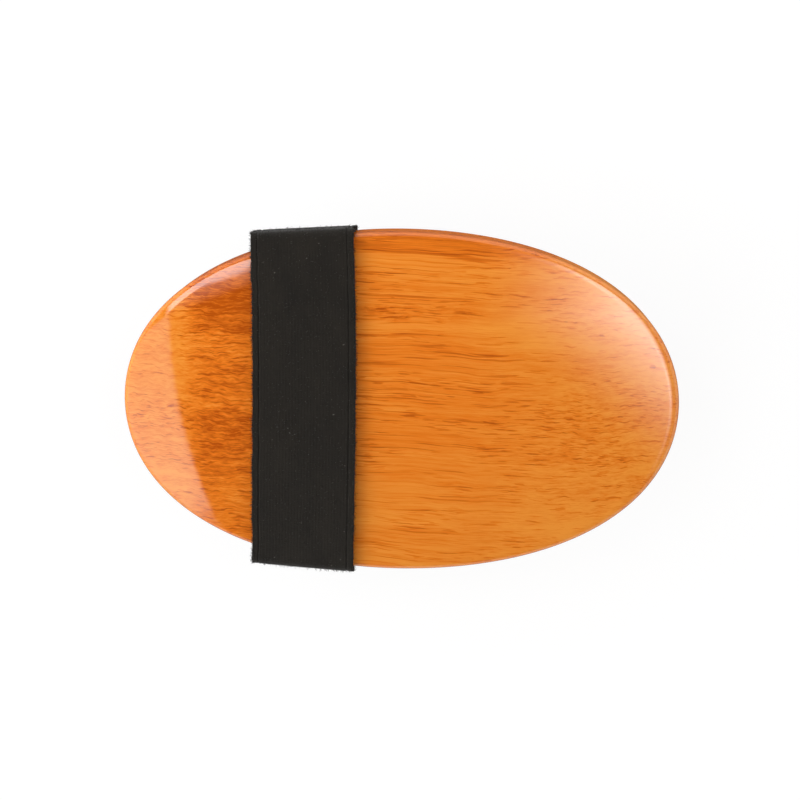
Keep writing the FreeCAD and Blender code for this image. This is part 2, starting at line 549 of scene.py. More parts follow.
@dataclass(frozen=True)
class LacqueredBamboo:
    """Carbonised bamboo, glued up from flat strips along X, under a clear gloss lacquer.

    The grain runs along X with a slight slope, and is curly near both ends. A seam is a place across the
    grain, with the change of tone past it. A stretch is a place along it, with the tones before and after.
    """

    dark: Colour = (0.46, 0.075, 0.001)
    middle: Colour = (0.80, 0.189, 0.0100)
    light: Colour = (0.90, 0.310, 0.038)

    grain_slope: float = 0.03
    sway: Mottle = Mottle((0.022, 0.03, 0.03))
    sway_mm: float = 4.0
    ripple: Mottle = Mottle((0.10, 0.06, 0.06))
    ripple_mm: float = 1.2
    curl: Mottle = Mottle((0.42, 0.35, 0.35))
    curl_mm: float = 1.3
    curly_ends: tuple[Stretch, Stretch] = ((-40.0, -24.0, 0.9, 0.0), (26.0, 44.0, 0.0, 0.7))

    clouds: Mottle = Mottle((0.012, 0.10, 0.10), 2.0)
    clouds_tone: float = 0.50
    streaks: Mottle = Mottle((0.020, 0.75, 0.75), 3.0, 0.6)
    streaks_tone: float = 0.74
    threads: Mottle = Mottle((0.11, 3.6, 3.6), 3.0, 0.7)
    threads_tone: float = 0.88
    lines: Mottle = Mottle((0.030, 1.9, 1.9))
    lines_edge: tuple[float, float] = (0.61, 0.67)
    lines_tone: float = -0.36
    dashes: Mottle = Mottle((0.19, 2.8, 2.8), distortion=0.2)
    dashes_edge: tuple[float, float] = (0.56, 0.63)
    dash_patches: Mottle = Mottle((0.03, 0.15, 0.15))
    dash_patches_edge: tuple[float, float] = (0.42, 0.58)
    dashes_tone: float = -0.34
    curly_figure: Mottle = Mottle((0.36, 1.9, 1.9), 2.0, 0.6, 0.3)
    curly_figure_tone: float = 1.20

    end_tone: Stretch = (-52.0, -45.0, 0.95, 0.61)
    stretches: tuple[Stretch, ...] = ((-32.0, -18.0, 0.0, 0.16), (8.0, 56.0, 0.0, 0.20))
    seams: tuple[Seam, ...] = ((-19.0, -0.07), (-12.3, -0.08), (14.2, 0.12), (35.2, -0.24))
    seam_width: float = 0.5
    strap_end: tuple[Stretch, Stretch] = ((-52.0, -46.0, 0.3, 1.0), (-34.0, -24.0, 1.0, 0.0))
    strap_end_tone: float = -0.10
    strap_end_seams: tuple[Seam, ...] = ((-12.3, -0.04), (-3.2, 0.14), (14.2, -0.34))

    joint_figure: Mottle = Mottle((0.30, 1.0, 1.0), 3.0, 0.6, 0.5)
    joint_figure_edge: tuple[float, float] = (0.44, 0.62)
    joints: tuple[Patch, ...] = (
        Patch((-39.0, -8.0), (9.0, 4.2), 0.22),
        Patch((-46.0, -2.0), (12.0, 16.0), 0.10),
        Patch((46.0, -10.0), (12.0, 6.0), 0.15),
        Patch((2.0, 21.5), (20.0, 2.4), 0.22),
    )
    knot: Patch = Patch((58.3, 9.7), (0.9, 0.6), 0.60)

    wood_roughness: tuple[float, float] = (0.50, 0.62)
    thread_relief: float = 0.05
    lacquer_roughness: float = 0.03
    lacquer_index: float = 1.6
    lacquer_unevenness: Mottle = Mottle((0.12, 0.45, 0.45))
    lacquer_relief: float = 0.006
    rim_z: tuple[float, float] = (31.0, 33.0)
    wall_lacquer: float = 0.35

    def material(self) -> bpy.types.Material:
        """Build the bamboo's nodes.

        Returns:
            The finished material.
        """
        bench = MaterialBench("lacquered_bamboo")
        x, y, z = bench.axes(bench.place)
        curly = bench.total(*(bench.band(x, *end) for end in self.curly_ends))
        across = bench.maths("MULTIPLY_ADD", x, self.grain_slope, y)
        across = bench.swing(bench.noise(bench.place, self.sway), self.sway_mm, across)
        across = bench.swing(bench.noise(bench.place, self.ripple), self.ripple_mm, across)
        curled = bench.product(bench.maths("SUBTRACT", bench.noise(bench.place, self.curl), 0.5), curly)
        across = bench.maths("MULTIPLY_ADD", curled, self.curl_mm, across)
        grain = bench.vector(x, across, z)

        threads = bench.noise(grain, self.threads)
        tone = self.strips(bench, x, across)
        tone = bench.swing(bench.noise(grain, self.clouds), self.clouds_tone, tone)
        tone = bench.swing(bench.noise(grain, self.streaks), self.streaks_tone, tone)
        tone = bench.swing(threads, self.threads_tone, tone)
        lines = bench.band(bench.noise(grain, self.lines), *self.lines_edge)
        tone = bench.maths("MULTIPLY_ADD", lines, self.lines_tone, tone)
        dashes = bench.band(bench.noise(grain, self.dashes), *self.dashes_edge)
        patches = bench.band(bench.noise(grain, self.dash_patches), *self.dash_patches_edge)
        tone = bench.maths("MULTIPLY_ADD", bench.product(dashes, patches), self.dashes_tone, tone)
        figure = bench.product(bench.maths("SUBTRACT", bench.noise(grain, self.curly_figure), 0.5), curly)
        tone = bench.maths("MULTIPLY_ADD", figure, self.curly_figure_tone, tone)
        tone = bench.maths("SUBTRACT", tone, self.dark_figure(bench, grain, x, y), clamp=True)
        stops = [(0.0, self.dark), (0.5, self.middle), (1.0, self.light)]
        bench.set("Base Color", bench.colour_run(tone, stops))

        bench.set("Roughness", bench.band(threads, 0.3, 0.7, *self.wood_roughness))
        bench.set("Specular IOR Level", 0.0)
        bench.set("Coat Weight", bench.band(z, *self.rim_z, self.wall_lacquer, 1.0))
        bench.set("Coat Roughness", self.lacquer_roughness)
        bench.set("Coat IOR", self.lacquer_index)
        bench.relief(threads, self.thread_relief)
        bench.relief(bench.noise(grain, self.lacquer_unevenness), self.lacquer_relief, "Coat Normal")
        return bench.material

    def strips(self, bench: NodeBench, x: Output, across: Output) -> Output:
        """Tone along the block, light at the left tip and rising towards the right end, with steps at the
        strips' seams and a darker stretch with steps of its own at the strap's end.

        Args:
            bench: Node tree being built.
            x: Output that gives the place along the block, in millimetres.
            across: Output that gives the place across the grain, in millimetres.

        Returns:
            Output that gives the tone, before the grain is added to it.
        """
        tone = bench.total(bench.band(x, *self.end_tone), *(bench.band(x, *each) for each in self.stretches))
        for seam, change in self.seams:
            tone = bench.total(tone, bench.band(across, seam, seam + self.seam_width, 0.0, change))
        end = bench.product(*(bench.band(x, *each) for each in self.strap_end))
        tone = bench.maths("MULTIPLY_ADD", end, self.strap_end_tone, tone)
        for seam, change in self.strap_end_seams:
            step = bench.band(across, seam, seam + self.seam_width, 0.0, change)
            tone = bench.total(tone, bench.product(step, end))
        return tone

    def dark_figure(self, bench: NodeBench, grain: Output, x: Output, y: Output) -> Output:
        """Dark curly figure where the strips have their stalks' joints, and one small knot.

        Args:
            bench: Node tree being built.
            grain: Output that gives the place along and across the grain.
            x: Output that gives the place along the block.
            y: Output that gives the place across it.

        Returns:
            Output that gives how much darker each place is.
        """
        figure = bench.band(bench.noise(grain, self.joint_figure), *self.joint_figure_edge)
        joints = bench.total(*(patch.value(bench, x, y) for patch in self.joints))
        return bench.total(bench.product(figure, joints), self.knot.value(bench, x, y))


@dataclass(frozen=True)
class ElasticWebbing:
    """Black woven elastic, a little dusty, with a soft nap."""

    dark: Colour = (0.0050, 0.0038, 0.0024)
    light: Colour = (0.0158, 0.0122, 0.0080)
    lint: Colour = (0.10, 0.09, 0.08)
    wear: Mottle = Mottle((0.16, 0.09, 0.09), 3.0, 0.55)
    weft: Mottle = Mottle((1.1, 4.2, 4.2), 2.0, 0.6)
    weft_tone: float = 0.7
    warp: Mottle = Mottle((4.5, 0.35, 0.35), 2.0, 0.6)
    warp_tone: float = 0.6
    lint_specks: Mottle = Mottle((1.3, 1.3, 1.3), 1.0, 0.4)
    lint_edge: tuple[float, float] = (0.775, 0.81)
    relief: float = 0.10

    def material(self) -> bpy.types.Material:
        """Build the webbing's nodes.

        Returns:
            The finished material.
        """
        bench = MaterialBench("elastic_webbing")
        weft, warp = (bench.noise(bench.place, mottle) for mottle in (self.weft, self.warp))
        tone = bench.swing(weft, self.weft_tone, bench.noise(bench.place, self.wear))
        tone = bench.swing(warp, self.warp_tone, tone, clamp=True)
        lint = bench.band(bench.noise(bench.place, self.lint_specks), *self.lint_edge)
        woven = bench.blend_colour(tone, self.dark, self.light)
        bench.set("Base Color", bench.blend_colour(lint, woven, self.lint))
        bench.set("Roughness", 0.92)
        bench.set("Specular IOR Level", 0.25)
        bench.set("Sheen Weight", 0.16)
        bench.set("Sheen Roughness", 0.45)
        bench.relief(bench.total(weft, warp), self.relief)
        return bench.material


@dataclass(frozen=True)
class BoarHair:
    """Natural boar bristle, near black at the root and browner at the tip."""

    root: Colour = (0.022, 0.013, 0.008)
    tip: Colour = (0.15, 0.085, 0.042)
    strands: Mottle = Mottle((6.0, 6.0, 0.05))
    strands_tone: float = 0.9
    tip_fade_z: tuple[float, float] = (2.0, 13.0)

    def material(self) -> bpy.types.Material:
        """Build the bristles' nodes.

        Returns:
            The finished material.
        """
        bench = MaterialBench("boar_bristle")
        _, _, height = bench.axes(bench.place)
        fade = bench.band(height, *self.tip_fade_z, 1.0, 0.0)
        tone = bench.swing(bench.noise(bench.place, self.strands), self.strands_tone, fade, clamp=True)
        bench.set("Base Color", bench.blend_colour(tone, self.root, self.tip))
        bench.set("Roughness", 0.42)
        bench.set("Specular IOR Level", 0.5)
        return bench.material


@dataclass(frozen=True)
class QuillNylon:
    """Drawn nylon rod, ivory and a little cloudy."""

    light: Colour = (0.86, 0.79, 0.62)
    dark: Colour = (0.74, 0.64, 0.44)
    cloud: Mottle = Mottle((0.8, 0.8, 0.25), 3.0)
    roughness: tuple[float, float] = (0.24, 0.36)
    draw_lines: Mottle = Mottle((8.0, 8.0, 0.4), 2.0)
    relief: float = 0.008

    def material(self) -> bpy.types.Material:
        """Build the nylon's nodes.

        Returns:
            The finished material.
        """
        bench = MaterialBench("quill_nylon")
        cloud = bench.noise(bench.place, self.cloud)
        bench.set("Base Color", bench.blend_colour(cloud, self.dark, self.light))
        bench.set("Roughness", bench.band(cloud, 0.3, 0.7, *self.roughness))
        bench.relief(bench.noise(bench.place, self.draw_lines), self.relief)
        return bench.material


@dataclass(frozen=True)
class DrawnWire:
    """Drawn steel wire with faint lines along it."""

    name: str
    light: Colour = (0.66, 0.66, 0.67)
    dark: Colour = (0.40, 0.40, 0.41)
    draw_lines: Mottle = Mottle((0.6, 9.0, 9.0), 3.0, 0.65)
    stains: Mottle = Mottle((0.5, 0.5, 0.5), 3.0)
    roughness: float = 0.3
    roughness_spread: float = 0.18
    relief: float = 0.01

    def material(self) -> bpy.types.Material:
        """Build the wire's nodes.

        Returns:
            The finished material.
        """
        bench = MaterialBench(self.name)
        lines = bench.noise(bench.place, self.draw_lines)
        stains = bench.band(bench.noise(bench.place, self.stains), 0.3, 0.6, 0.7, 1.3)
        tone = bench.maths("MULTIPLY", lines, stains, clamp=True)
        bench.set("Base Color", bench.blend_colour(tone, self.dark, self.light))
        bench.set("Metallic", 1.0)
        roughest = self.roughness + self.roughness_spread
        bench.set("Roughness", bench.band(lines, 0.3, 0.7, self.roughness, roughest))
        bench.relief(lines, self.relief)
        return bench.material


# ---------------------------------------------------------------------------------------------
# Shapes shared by the block and the strap
# ---------------------------------------------------------------------------------------------


@dataclass(frozen=True)
class DomedOval:
    """Outline and domed back of the block: an ellipse made a little fuller at its corners."""

    half_length: float
    half_width: float
    crown_z: float
    crown: float = 5.0
    fullness: float = 0.023

    @property
    def radius_y(self) -> float:
        """Radius of the dome across the brush."""
        return (self.half_width**2 + self.crown**2) / (2 * self.crown)

    @property
    def axis_z(self) -> float:
        """Height of the axis that the dome's profile turns about."""
        return self.crown_z - (self.half_length**2 + self.crown**2) / (2 * self.crown)

    def outline(self, angle: np.ndarray) -> np.ndarray:
        """Points of the outline.

        Args:
            angle: Parameter angles of the points.

        Returns:
            Rows of X and Y.
        """
        swell = 1 + self.fullness * np.sin(2 * angle) ** 2
        legs = self.half_length * np.cos(angle) * swell, self.half_width * np.sin(angle) * swell
        return np.stack(legs, axis=-1)

    def outward(self, angle: np.ndarray) -> np.ndarray:
        """Unit vectors square to the outline.

        Args:
            angle: Parameter angles of the outline's points.

        Returns:
            Rows of X and Y.
        """
        step = 1e-5
        along = self.outline(angle + step) - self.outline(angle - step)
        square = np.stack([along[:, 1], -along[:, 0]], axis=-1)
        return square / np.linalg.norm(square, axis=1, keepdims=True)

    def half_width_at(self, x: float) -> float:
        """Half the width of the block at one place along it.

        Args:
            x: Place along the brush.

        Returns:
            Half the width there.
        """
        angles = np.linspace(0, math.pi, 4001)
        points = self.outline(angles)
        return float(np.interp(-x, -points[:, 0], points[:, 1]))

    def height(self, x: np.ndarray, y: np.ndarray, offset: float = 0.0) -> np.ndarray:
        """Height of the domed back, moved out of the block by offset."""
        profile = self.crown_z - self.radius_y + np.sqrt((self.radius_y + offset) ** 2 - y**2)
        return self.axis_z + np.sqrt((profile - self.axis_z) ** 2 - x**2)


@dataclass(frozen=True)
class TuftPlan:
    """Where the staggered tufts stand."""

    pitch: float = 8.0
    rows: int = 9

    def row_places(self, row: int) -> np.ndarray:
        """Tuft centres of one row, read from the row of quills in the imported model.

        Args:
            row: Number of the row, from 1 at the front.

        Returns:
            Rows of X and Y.
        """
        low, high = box_mm(f"nylon_quills_row_{row}")
        centre = (low + high) / 2
        radius = (high[1] - low[1]) / 2
        reach = (high[0] - low[0]) / 2 - radius
        count = round(2 * reach / self.pitch) + 1
        return np.array([[x, centre[1]] for x in np.linspace(centre[0] - reach, centre[0] + reach, count)])

    def all_places(self) -> np.ndarray:
        """Tuft centres of every row."""
        return np.concatenate([self.row_places(row) for row in range(1, self.rows + 1)])


# ---------------------------------------------------------------------------------------------
# Pieces
# ---------------------------------------------------------------------------------------------


@dataclass
class BambooBlock:
    """The block: domed back, rounded rims, drilled underside and the two strap pockets."""

    oval: DomedOval
    plan: TuftPlan
    underside_z: float
    edge_thickness: float = 12.0
    top_round: float = 1.35
    top_round_drop: float = 2.2
    bottom_round: float = 1.5
    hole_radius: float = 1.5
    hole_depth: float = 7.0
    drill_point: float = 0.6
    drill_tip_radius: float = 0.05
    mouth_flare: float = 0.15
    pocket_depth: float = 2.4
    pocket_side_gap: float = 0.3
    cutter_margin: float = 1.0
    hole_sides: int = 28
    around: int = 288
    bottom_rings: int = 8
    wall_rings: tuple[float, float] = (0.34, 0.67)
    rim_rings: int = 12
    dome_rings: int = 44
    crown_share: float = 0.01
    sharp_degrees: float = 32.0

    def build(self) -> Piece:
        """Make the block's mesh in place of its node.

        Returns:
            The block, riding on its body.
        """
        points, faces = ring_loft(self.shell())
        block = mesh_piece("bamboo_block", points, faces)
        cut_away(block, self.drilled_holes())
        cut_away(block, self.pockets())
        cut_away(block, self.wire_seats())
        block.data.shade_smooth()
        block.data.set_sharp_from_angle(angle=math.radians(self.sharp_degrees))
        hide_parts("bamboo_body")
        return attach(block, Body.BLOCK.value)

    def shell(self) -> np.ndarray:
        """Rings of the uncut block, from the middle of the underside up to the crown.

        Returns:
            Positions with shape (rings, points in a ring, 3).
        """
        angle = np.linspace(0, 2 * math.pi, self.around, endpoint=False)
        edge, outward = self.oval.outline(angle), self.oval.outward(angle)
        rings: list[np.ndarray] = []

        def add_ring(places: np.ndarray, z: np.ndarray | float) -> None:
            """Add one ring of places at a height."""
            rings.append(np.column_stack([places, np.broadcast_to(z, self.around)]))

        for turn in np.linspace(0, math.pi / 2, self.bottom_rings):
            inset = self.bottom_round * (1 - math.sin(turn))
            add_ring(edge - inset * outward, self.underside_z + self.bottom_round * (1 - math.cos(turn)))

        inner = edge - self.top_round * outward
        centre_z = self.oval.height(inner[:, 0], inner[:, 1], -self.top_round)
        lean_x = np.arcsin(inner[:, 0] / (self.oval.crown_z - self.oval.axis_z))
        lean_y = np.arcsin(inner[:, 1] / self.oval.radius_y)
        lean = np.arctan(np.tan(lean_x) * outward[:, 0] + np.tan(lean_y) * outward[:, 1])
        wall_foot = self.underside_z + self.bottom_round
        wall_top = centre_z - (self.top_round_drop - self.top_round)
        for share in self.wall_rings:
            add_ring(edge, wall_foot + share * (wall_top - wall_foot))
        for share in np.linspace(0, 1, self.rim_rings):
            turn = share * (math.pi / 2 - lean)
            drop = (self.top_round_drop - self.top_round) * (1 - np.sin(turn) / np.sin(math.pi / 2 - lean))
            places = inner + (self.top_round * np.cos(turn))[:, None] * outward
            add_ring(places, centre_z + self.top_round * np.sin(turn) - drop)
        rim = rings[-1][:, :2]
        for share in np.linspace(1, self.crown_share, self.dome_rings)[1:]:
            add_ring(rim * share, self.oval.height(rim[:, 0] * share, rim[:, 1] * share))
        return np.array(rings)

    def drilled_holes(self) -> Piece:
        """Make the cutter for the tuft holes, each with a softened mouth and the drill's point.

        Returns:
            The cutter.
        """
        places = self.plan.all_places()
        top = self.underside_z + self.hole_depth
        profile = (
            (self.underside_z - self.cutter_margin, self.hole_radius + self.mouth_flare + self.cutter_margin),
            (self.underside_z + self.mouth_flare, self.hole_radius),
            (top, self.hole_radius),
            (top + self.drill_point, self.drill_tip_radius),
        )
        heights = np.array([z for z, _ in profile])
        centres = np.zeros((len(places), len(profile), 3))
        centres[:, :, :2] = places[:, None, :]
        centres[:, :, 2] = heights
        radii = np.tile([radius for _, radius in profile], (len(places), 1))
        return mesh_piece("hole_cutter", *upright_rods(centres, radii, self.hole_sides))

    def pockets(self) -> Piece:
        """Make the cutter for the pockets that take the strap's ends.

        Returns:
            The cutter.
        """
        low, high = box_mm("strap_span")
        x_span = (low[0] - self.pocket_side_gap, high[0] + self.pocket_side_gap)
        z_span = (self.underside_z - self.cutter_margin, self.underside_z + self.pocket_depth)
        start = box_mm("strap_end_back")[0][1] - self.pocket_side_gap
        past = self.oval.half_width + 2 * self.cutter_margin
        spans = [(x_span, tuple(sorted((side.value * start, side.value * past))), z_span) for side in Side]
        return mesh_piece("pocket_cutter", *box_cutter(spans))

    def wire_seats(self) -> Piece:
        """Make the cutter for the notches that the anchor wires bite into the holes' walls.

        Returns:
            The cutter.
        """
        row = (self.plan.rows + 1) // 2
        low, high = box_mm(f"anchor_wires_row_{row}")
        reach = (high[0] - low[0]) / 2 - self.plan.pitch * (len(self.plan.row_places(row)) - 1) / 2
        half_y = (high[1] - low[1]) / 2
        spans = []
        for x, y in self.plan.all_places():
            spans.append(((x - reach, x + reach), (y - half_y, y + half_y), (low[2], high[2])))
        return mesh_piece("notch_cutter", *box_cutter(spans))


@dataclass
class HandStrap:
    """Woven elastic strap, from one pocket over the domed back to the other pocket."""

    oval: DomedOval
    underside_z: float
    thickness: float = 1.2
    clearance: float = 0.3
    wall_clearance: float = 0.05
    pull_in: float = 1.5
    shoulder: float = 1.3
    fold: float = 0.4
    pocket_depth: float = 2.4
    rib_pitch: float = 0.72
    rib_height: float = 0.018
    first_rib: float = 0.12
    rib_margin: float = 0.3
    edge_points: int = 7
    squareness: int = 4
    selvedge: float = 1.55
    groove_depth: float = 0.20
    groove_width: float = 0.16
    waver: float = 0.10
    right_waver_share: float = 0.5
    waver_step: float = 3.0
    waver_start: float = 4.0
    waver_run: float = 6.0
    waver_falloff: int = 6
    lean: tuple[float, float, float] = (0.1, 0.7, -0.4)
    back_stations: int = 38
    bend_stations: int = 9
    wall_stations: int = 11
    pocket_stations: int = 9
    still_foot: float = 1.4
    moving_head: float = 0.5
    sharp_degrees: float = 50.0
    seed: int = 11

    def build(self) -> Piece:
        """Make the strap's mesh in place of its three nodes.

        Returns:
            The strap.
        """
        low, high = box_mm("strap_span")
        points, faces = ring_loft(self.rings(low[0], high[0]))
        strap = mesh_piece("elastic_strap", points, faces, self.sharp_degrees)
        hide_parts("strap_span", "strap_end_back", "strap_end_front")
        return self.follow(strap)

    def follow(self, piece: Piece) -> Piece:
        """Bake a piece's place into its mesh.

        Args:
            piece: Strap, or something on it.

        Returns:
            The same piece.
        """
        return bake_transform(piece)

    def half_path(self, x: np.ndarray, inner_y: np.ndarray) -> tuple[np.ndarray, np.ndarray]:
        """Inner face of the strap from the middle of the back down to its end in the pocket.

        Args:
            x: Places across the strap's width.
            inner_y: Distance of the inner face from the middle plane beside the block, at each place.

        Returns:
            Points and outward unit vectors as (stations, places, Y and Z).
        """
        start_y = self.split_y() + self.clearance
        outer_radius = self.oval.radius_y + self.clearance
        slope = math.asin(start_y / outer_radius)
        points: list[np.ndarray] = []
        normals: list[np.ndarray] = []

        def add_station(y: np.ndarray | float, z: np.ndarray | float, turn: float) -> None:
            """Add a station, whose outward vector is turned from +Z towards +Y by an angle."""
            points.append(np.stack(np.broadcast_arrays(y, z, x)[:2], axis=-1))
            normals.append(np.tile([math.sin(turn), math.cos(turn)], (len(x), 1)))

        for y in np.linspace(0, start_y, self.back_stations):
            back_z = self.oval.height(x, np.full(len(x), y), self.clearance)
            add_station(y, back_z, math.asin(y / outer_radius))
        first_z = self.oval.height(x, np.full(len(x), start_y), self.clearance)
        arc_y = inner_y - self.shoulder
        tangent_z = first_z - (arc_y + self.shoulder * math.sin(slope) - start_y) * math.tan(slope)
        arc_z = tangent_z - self.shoulder * math.cos(slope)
        for turn in np.linspace(slope, math.pi / 2, self.bend_stations):
            add_station(arc_y + self.shoulder * math.sin(turn), arc_z + self.shoulder * math.cos(turn), turn)
        fold_z = self.underside_z + self.pocket_depth + self.fold
        for share in np.linspace(0, 1, self.wall_stations)[1:-1]:
            add_station(inner_y, arc_z + share * (fold_z - arc_z), math.pi / 2)
        fold_y = inner_y - self.fold
        for turn in np.linspace(math.pi / 2, math.pi, self.bend_stations):
            add_station(fold_y + self.fold * math.sin(turn), fold_z + self.fold * math.cos(turn), turn)
        end_y = box_mm("strap_end_back")[0][1]
        for share in np.linspace(0, 1, self.pocket_stations)[1:]:
            add_station(fold_y + share * (end_y - inner_y + self.fold), fold_z - self.fold, math.pi)
        return np.array(points), np.array(normals)

    def split_y(self) -> float:
        """Distance from the middle plane at which the strap's lifting middle ends."""
        return box_mm("strap_span")[1][1]

    def section(self, width: float) -> tuple[np.ndarray, np.ndarray]:
        """Cross-section of the webbing: ribbed face, grooved selvedges and rounded edges.

        Args:
            width: Width of the strap.

        Returns:
            Distance of each point from the left edge, and its height above the inner face.
        """
        edge = self.thickness / 2 * (1 - np.cos(np.linspace(0, math.pi / 2, self.edge_points)))
        ribs = np.arange(self.thickness / 2 + self.first_rib, width / 2, self.rib_pitch / 6)
        half = np.concatenate([edge, ribs])
        across = np.concatenate([half, width - half[::-1]])
        from_edge = np.minimum(across, width - across)
        inward = np.minimum(from_edge / (self.thickness / 2), 1)
        swell = np.clip(1 - (1 - inward) ** self.squareness, 0, 1) ** (1 / self.squareness)
        ribs = np.cos(2 * math.pi * (across - width / 2) / self.rib_pitch)
        ribbed = np.where(from_edge > self.selvedge + self.rib_margin, ribs, 0)
        groove = np.exp(-(((from_edge - self.selvedge) / self.groove_width) ** 2))
        raised = self.rib_height * (ribbed - 1) * swell
        face = self.thickness / 2 * swell + raised - self.groove_depth * groove
        inner = slice(1, -1, 2)
        heights = np.concatenate([self.thickness / 2 + face, (self.thickness / 2 * (1 - swell))[inner][::-1]])
        return np.concatenate([across, across[inner][::-1]]), heights

    def rings(self, left: float, right: float) -> np.ndarray:
        """Cross-sections along the whole strap.

        Args:
            left: Place of the strap's left edge.
            right: Place of its right edge.

        Returns:
            Positions with shape (stations, points in a ring, 3).
        """
        across, height = self.section(right - left)
        x = left + across
        right_y = self.oval.half_width_at(right) + self.wall_clearance
        inner_y = right_y - self.pull_in * (right - x) / (right - left)
        points, normals = self.half_path(x, inner_y)
        lifted = points + height[None, :, None] * normals
        back = np.concatenate([np.broadcast_to(x, lifted.shape[:2])[..., None], lifted], axis=-1)
        front = back * np.array([1, -1, 1])
        whole = np.concatenate([back[::-1], front[1:]])
        return self.wavered(whole, left, right)

    def wavered(self, rings: np.ndarray, left: float, right: float) -> np.ndarray:
        """Let the edges wander a little, most at the back of the block and not in the pockets.

        Args:
            rings: Cross-sections along the strap.
            left: Place of the strap's left edge.
            right: Place of its right edge.

        Returns:
            The changed cross-sections.
        """
        draw = np.random.default_rng(self.seed)
        steps = np.concatenate([[0], np.cumsum(np.linalg.norm(np.diff(rings[:, 0, :], axis=0), axis=1))])
        knots = np.arange(0, steps[-1] + self.waver_step, self.waver_step)
        above = rings[:, 0, 2] - self.underside_z - self.waver_start
        free = np.clip(above / self.waver_run, 0, 1)[:, None]
        share = (rings[:, :, 0] - left) / (right - left)
        left_sway = np.interp(steps, knots, draw.normal(0, self.waver, len(knots)))[:, None]
        right_waver = self.waver * self.right_waver_share
        right_sway = np.interp(steps, knots, draw.normal(0, right_waver, len(knots)))[:, None]
        across = rings[:, 0, 1] / self.oval.half_width
        front_lean, middle_lean, back_lean = self.lean
        lean = middle_lean * (1 - across**2) + np.where(across > 0, back_lean, front_lean) * across**2
        moved = rings.copy()
        moved[:, :, 0] += free * lean[:, None]
        left_share, right_share = (1 - share) ** self.waver_falloff, share**self.waver_falloff
        moved[:, :, 0] += free * (left_sway * left_share + right_sway * right_share)
        return moved


@dataclass
class StrapNap:
    """Loose fibres that stand out of the strap's selvedges and its face, closest together at the bends."""

    strap: HandStrap
    edge_fibres: int = 2600
    face_fibres: int = 2200
    edge_columns: int = 6
    length: float = 0.50
    radius: float = 0.045
    length_spread: tuple[float, float] = (0.4, 1.3)
    taper: tuple[tuple[float, float], ...] = ((-0.2, 1.0), (0.5, 0.8), (1.0, 0.3))
    stray: float = 0.45
    bow: float = 0.25
    pocket_gap: float = 1.5
    sharp_degrees: float = 95.0
    seed: int = 31

    def build(self) -> Piece:
        """Make the fibres.

        Returns:
            The fibres.
        """
        low, high = box_mm("strap_span")
        rings = self.strap.rings(low[0], high[0])
        across, _ = self.strap.section(high[0] - low[0])
        face = int(np.argmax(np.diff(across) < 0)) + 1
        up = rings[:, face // 2] - rings[:, (face + len(across)) // 2]
        up /= np.linalg.norm(up, axis=1, keepdims=True)
        draw = np.random.default_rng(self.seed)

        pocket_top = self.strap.underside_z + self.strap.pocket_depth
        free = np.flatnonzero(rings[:, face // 2, 2] > pocket_top + self.pocket_gap)
        side = draw.choice([-1, 1], self.edge_fibres)
        column = draw.integers(0, self.edge_columns, self.edge_fibres)
        column = np.where(side < 0, column, face - 1 - column)
        steps = np.cumsum(np.linalg.norm(np.diff(rings[:, 0], axis=0), axis=1))
        station = np.searchsorted(steps, draw.uniform(steps[free[0]], steps[free[-2]], self.edge_fibres))
        sideways = side[:, None] * np.array([1.0, 0.0, 0.0])
        edges = self.fibres(rings, station, column, sideways, draw)

        station = draw.choice(free[:-1], self.face_fibres)
        column = draw.integers(self.edge_columns, face - self.edge_columns, self.face_fibres)
        faces = self.fibres(rings, station, column, up[station], draw)
        points, skins = skinned_rods(np.concatenate([edges, faces]))
        return self.strap.follow(mesh_piece("strap_nap", points, skins, self.sharp_degrees))

    def fibres(
        self,
        rings: np.ndarray,
        station: np.ndarray,
        column: np.ndarray,
        outward: np.ndarray,
        draw: np.random.Generator,
    ) -> np.ndarray:
        """Thin tapered fibres, each rooted a little inside the strap.

        Args:
            rings: Cross-sections along the strap.
            station: Number of the cross-section before each fibre.
            column: Number of the point round the cross-section.
            outward: Unit vectors out of the strap, one row for each fibre.
            draw: Source of random numbers.

        Returns:
            Positions with shape (fibres, rings, points in a ring, 3).
        """
        count = len(station)
        share = draw.uniform(0, 1, (count, 1))
        root = rings[station, column] * (1 - share) + rings[station + 1, column] * share
        along = outward + draw.normal(0, self.stray, (count, 3))
        along /= np.linalg.norm(along, axis=1, keepdims=True)
        first = np.cross(along, draw.normal(0, 1, (count, 3)))
        first /= np.linalg.norm(first, axis=1, keepdims=True)
        second = np.cross(along, first)
        reach = self.length * draw.uniform(*self.length_spread, (count, 1))
        bow = draw.normal(0, self.bow, (count, 3)) * reach
        turns = np.linspace(0, 2 * math.pi, 3, endpoint=False)[:, None]
        circle = first[:, None] * np.cos(turns) + second[:, None] * np.sin(turns)
        levels = []
        for level, thickness in self.taper:
            centre = root + along * reach * level + bow * level**2
            levels.append(centre[:, None] + thickness * self.radius * circle)
        return np.stack(levels, axis=1)


